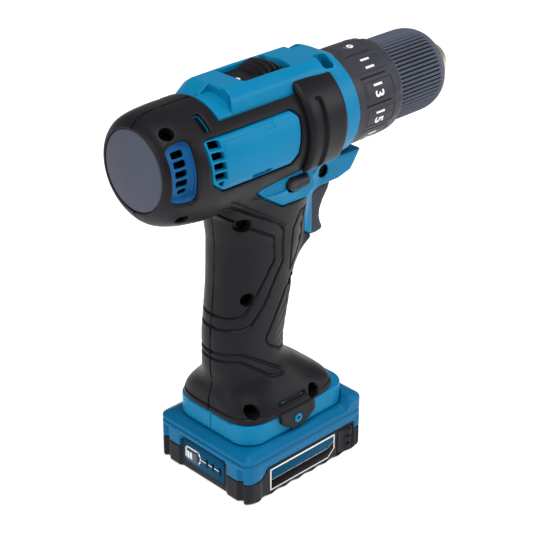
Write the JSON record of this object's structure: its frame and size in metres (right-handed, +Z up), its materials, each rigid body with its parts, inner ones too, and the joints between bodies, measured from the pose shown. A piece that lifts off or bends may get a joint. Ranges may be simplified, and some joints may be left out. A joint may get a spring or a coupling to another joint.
{
  "type": "cordless drill",
  "caption": "Compact cordless drill driver with a keyless chuck, clutch collar, speed selector, trigger, direction switch and slide-on battery.",
  "frame": {"origin": "centre of the battery pack's flat underside, on which the drill stands", "axes": "+X along the drive line towards the chuck, +Y to the drill's left, +Z up"},
  "size_m": [0.1978, 0.0644, 0.2044],
  "materials": {
    "blue_shell": "moulded hard plastic, satin",
    "soft_charcoal": "soft-touch overmould, fine grain",
    "cool_grey_plastic": "moulded plastic, ribbed or smooth",
    "black_plastic": "moulded plastic",
    "steel": "machined",
    "cast_metal": "die cast",
    "champagne_metal": "turned, warm plated",
    "black_screw": "blackened",
    "copper": "wound copper and laminations",
    "brass": "pressed contact",
    "clear_lens": "clear moulded lens",
    "green_board": "printed circuit board",
    "cell_wrap": "shrink wrap"
  },
  "bodies": {
    "housing": {"housing_right": "blue_shell", "housing_left": "blue_shell", "overmould_right": "soft_charcoal", "overmould_left": "soft_charcoal", "rear_cap": "cool_grey_plastic", "top_cover": "blue_shell", "side_bumper_right": "soft_charcoal", "side_bumper_left": "soft_charcoal", "housing_screw_1": "black_screw", "housing_screw_2": "black_screw", "housing_screw_3": "black_screw", "housing_screw_4": "black_screw", "housing_screw_5": "black_screw", "housing_screw_6": "black_screw", "housing_screw_7": "black_screw", "housing_screw_8": "black_screw", "motor_can": "steel", "motor_end_bell": "black_plastic", "field_magnet": "black_plastic", "gear_case": "cast_metal", "ring_gear_1": "steel", "ring_gear_2": "steel", "front_bearing": "steel", "clutch_spring": "steel", "trigger_switch": "black_plastic", "trigger_spring": "steel", "led_lens": "clear_lens", "contact_block": "brass"},
    "rotor": {"motor_shaft": "steel", "armature": "copper", "cooling_fan": "black_plastic"},
    "planet_carrier": {"planet_carrier": "steel"},
    "spindle": {"spindle": "steel", "chuck_body": "champagne_metal", "chuck_screw": "black_screw"},
    "chuck_sleeve": {"chuck_sleeve": "cool_grey_plastic", "jaw_nut": "steel"},
    "clutch_collar": {"clutch_collar": "soft_charcoal"},
    "clutch_plate": {"clutch_plate": "steel"},
    "trigger": {"trigger": "soft_charcoal"},
    "direction_switch": {"direction_switch": "soft_charcoal"},
    "speed_selector": {"speed_selector": "soft_charcoal"},
    "battery": {"battery_case_top": "blue_shell", "battery_case_bottom": "black_plastic", "battery_cell_1": "cell_wrap", "battery_cell_2": "cell_wrap", "battery_cell_3": "cell_wrap", "battery_board": "green_board"},
    "battery_latch_right": {"battery_latch_right": "black_plastic"},
    "battery_latch_left": {"battery_latch_left": "black_plastic"},
    "gauge_button": {"gauge_button": "cool_grey_plastic"},
    "planet_gear_1_1": {"planet_gear_1_1": "steel"},
    "planet_gear_1_2": {"planet_gear_1_2": "steel"},
    "planet_gear_1_3": {"planet_gear_1_3": "steel"},
    "planet_gear_2_1": {"planet_gear_2_1": "steel"},
    "planet_gear_2_2": {"planet_gear_2_2": "steel"},
    "planet_gear_2_3": {"planet_gear_2_3": "steel"},
    "chuck_jaw_1": {"chuck_jaw_1": "champagne_metal"},
    "chuck_jaw_2": {"chuck_jaw_2": "champagne_metal"},
    "chuck_jaw_3": {"chuck_jaw_3": "champagne_metal"}
  },
  "joints": [
    {"name": "chuck_spin", "type": "hinge", "parent": "housing", "child": "spindle", "pos_m": [0.05, 0, 0.1763], "axis": [1, 0, 0], "continuous": true},
    {"name": "carrier_spin", "type": "hinge", "parent": "housing", "child": "planet_carrier", "pos_m": [0.008, 0, 0.1763], "axis": [1, 0, 0], "continuous": true},
    {"name": "rotor_spin", "type": "hinge", "parent": "housing", "child": "rotor", "pos_m": [-0.04, 0, 0.1763], "axis": [1, 0, 0], "continuous": true},
    {"name": "planet_1_1_spin", "type": "hinge", "parent": "planet_carrier", "child": "planet_gear_1_1", "pos_m": [0.001, 0, 0.18627], "axis": [1, 0, 0], "continuous": true},
    {"name": "planet_1_2_spin", "type": "hinge", "parent": "planet_carrier", "child": "planet_gear_1_2", "pos_m": [0.001, -0.00864, 0.17131], "axis": [1, 0, 0], "continuous": true},
    {"name": "planet_1_3_spin", "type": "hinge", "parent": "planet_carrier", "child": "planet_gear_1_3", "pos_m": [0.001, 0.00864, 0.17131], "axis": [1, 0, 0], "continuous": true},
    {"name": "planet_2_1_spin", "type": "hinge", "parent": "spindle", "child": "planet_gear_2_1", "pos_m": [0.017, 0, 0.18627], "axis": [1, 0, 0], "continuous": true},
    {"name": "planet_2_2_spin", "type": "hinge", "parent": "spindle", "child": "planet_gear_2_2", "pos_m": [0.017, -0.00864, 0.17131], "axis": [1, 0, 0], "continuous": true},
    {"name": "planet_2_3_spin", "type": "hinge", "parent": "spindle", "child": "planet_gear_2_3", "pos_m": [0.017, 0.00864, 0.17131], "axis": [1, 0, 0], "continuous": true},
    {"name": "sleeve_turn", "type": "hinge", "parent": "spindle", "child": "chuck_sleeve", "pos_m": [0.09, 0, 0.1763], "axis": [1, 0, 0], "range_deg": [0, 3600]},
    {"name": "jaw_1_slide", "type": "slide", "parent": "spindle", "child": "chuck_jaw_1", "axis": [-0.9659, 0, 0.2588], "range_m": [0, 0.0194]},
    {"name": "jaw_2_slide", "type": "slide", "parent": "spindle", "child": "chuck_jaw_2", "axis": [-0.9659, -0.2241, -0.1294], "range_m": [0, 0.0194]},
    {"name": "jaw_3_slide", "type": "slide", "parent": "spindle", "child": "chuck_jaw_3", "axis": [-0.9659, 0.2241, -0.1294], "range_m": [0, 0.0194]},
    {"name": "collar_turn", "type": "hinge", "parent": "housing", "child": "clutch_collar", "pos_m": [0.055, 0, 0.1763], "axis": [1, 0, 0], "range_deg": [-108.5, 124]},
    {"name": "clutch_plate_slide", "type": "slide", "parent": "housing", "child": "clutch_plate", "axis": [1, 0, 0], "range_m": [-0.0023, 0.0026], "deforming": ["clutch_spring"]},
    {"name": "trigger_pull", "type": "slide", "parent": "housing", "child": "trigger", "axis": [-1, 0, 0], "range_m": [0, 0.007], "stiffness_N_per_m": 1200, "springref_m": -0.002, "deforming": ["trigger_spring"]},
    {"name": "direction_slide", "type": "slide", "parent": "housing", "child": "direction_switch", "axis": [0, 1, 0], "range_m": [-0.003, 0.003]},
    {"name": "speed_slide", "type": "slide", "parent": "housing", "child": "speed_selector", "axis": [1, 0, 0], "range_m": [-0.0085, 0]},
    {"name": "battery_slide", "type": "slide", "parent": "housing", "child": "battery", "axis": [1, 0, 0], "range_m": [0, 0.072]},
    {"name": "latch_right_press", "type": "slide", "parent": "battery", "child": "battery_latch_right", "axis": [0, 1, 0], "range_m": [0, 0.0015], "stiffness_N_per_m": 2500, "springref_m": -0.001},
    {"name": "latch_left_press", "type": "slide", "parent": "battery", "child": "battery_latch_left", "axis": [0, -1, 0], "range_m": [0, 0.0015], "stiffness_N_per_m": 2500, "springref_m": -0.001},
    {"name": "gauge_press", "type": "slide", "parent": "battery", "child": "gauge_button", "axis": [1, 0, 0], "range_m": [0, 0.0008], "stiffness_N_per_m": 1500, "springref_m": -0.0005}
  ],
  "couplings": [
    {"joint": "carrier_spin", "follows": "chuck_spin", "ratio": 4.6667},
    {"joint": "rotor_spin", "follows": "chuck_spin", "ratio": 21.778},
    {"joint": "planet_1_1_spin", "follows": "chuck_spin", "ratio": -12.833},
    {"joint": "planet_1_2_spin", "follows": "chuck_spin", "ratio": -12.833},
    {"joint": "planet_1_3_spin", "follows": "chuck_spin", "ratio": -12.833},
    {"joint": "planet_2_1_spin", "follows": "chuck_spin", "ratio": -2.75},
    {"joint": "planet_2_2_spin", "follows": "chuck_spin", "ratio": -2.75},
    {"joint": "planet_2_3_spin", "follows": "chuck_spin", "ratio": -2.75},
    {"joint": "jaw_1_slide", "follows": "sleeve_turn", "m_per_rad": 0.00030717},
    {"joint": "jaw_2_slide", "follows": "sleeve_turn", "m_per_rad": 0.00030717},
    {"joint": "jaw_3_slide", "follows": "sleeve_turn", "m_per_rad": 0.00030717},
    {"joint": "clutch_plate_slide", "follows": "collar_turn", "m_per_rad": 0.00115}
  ]
}
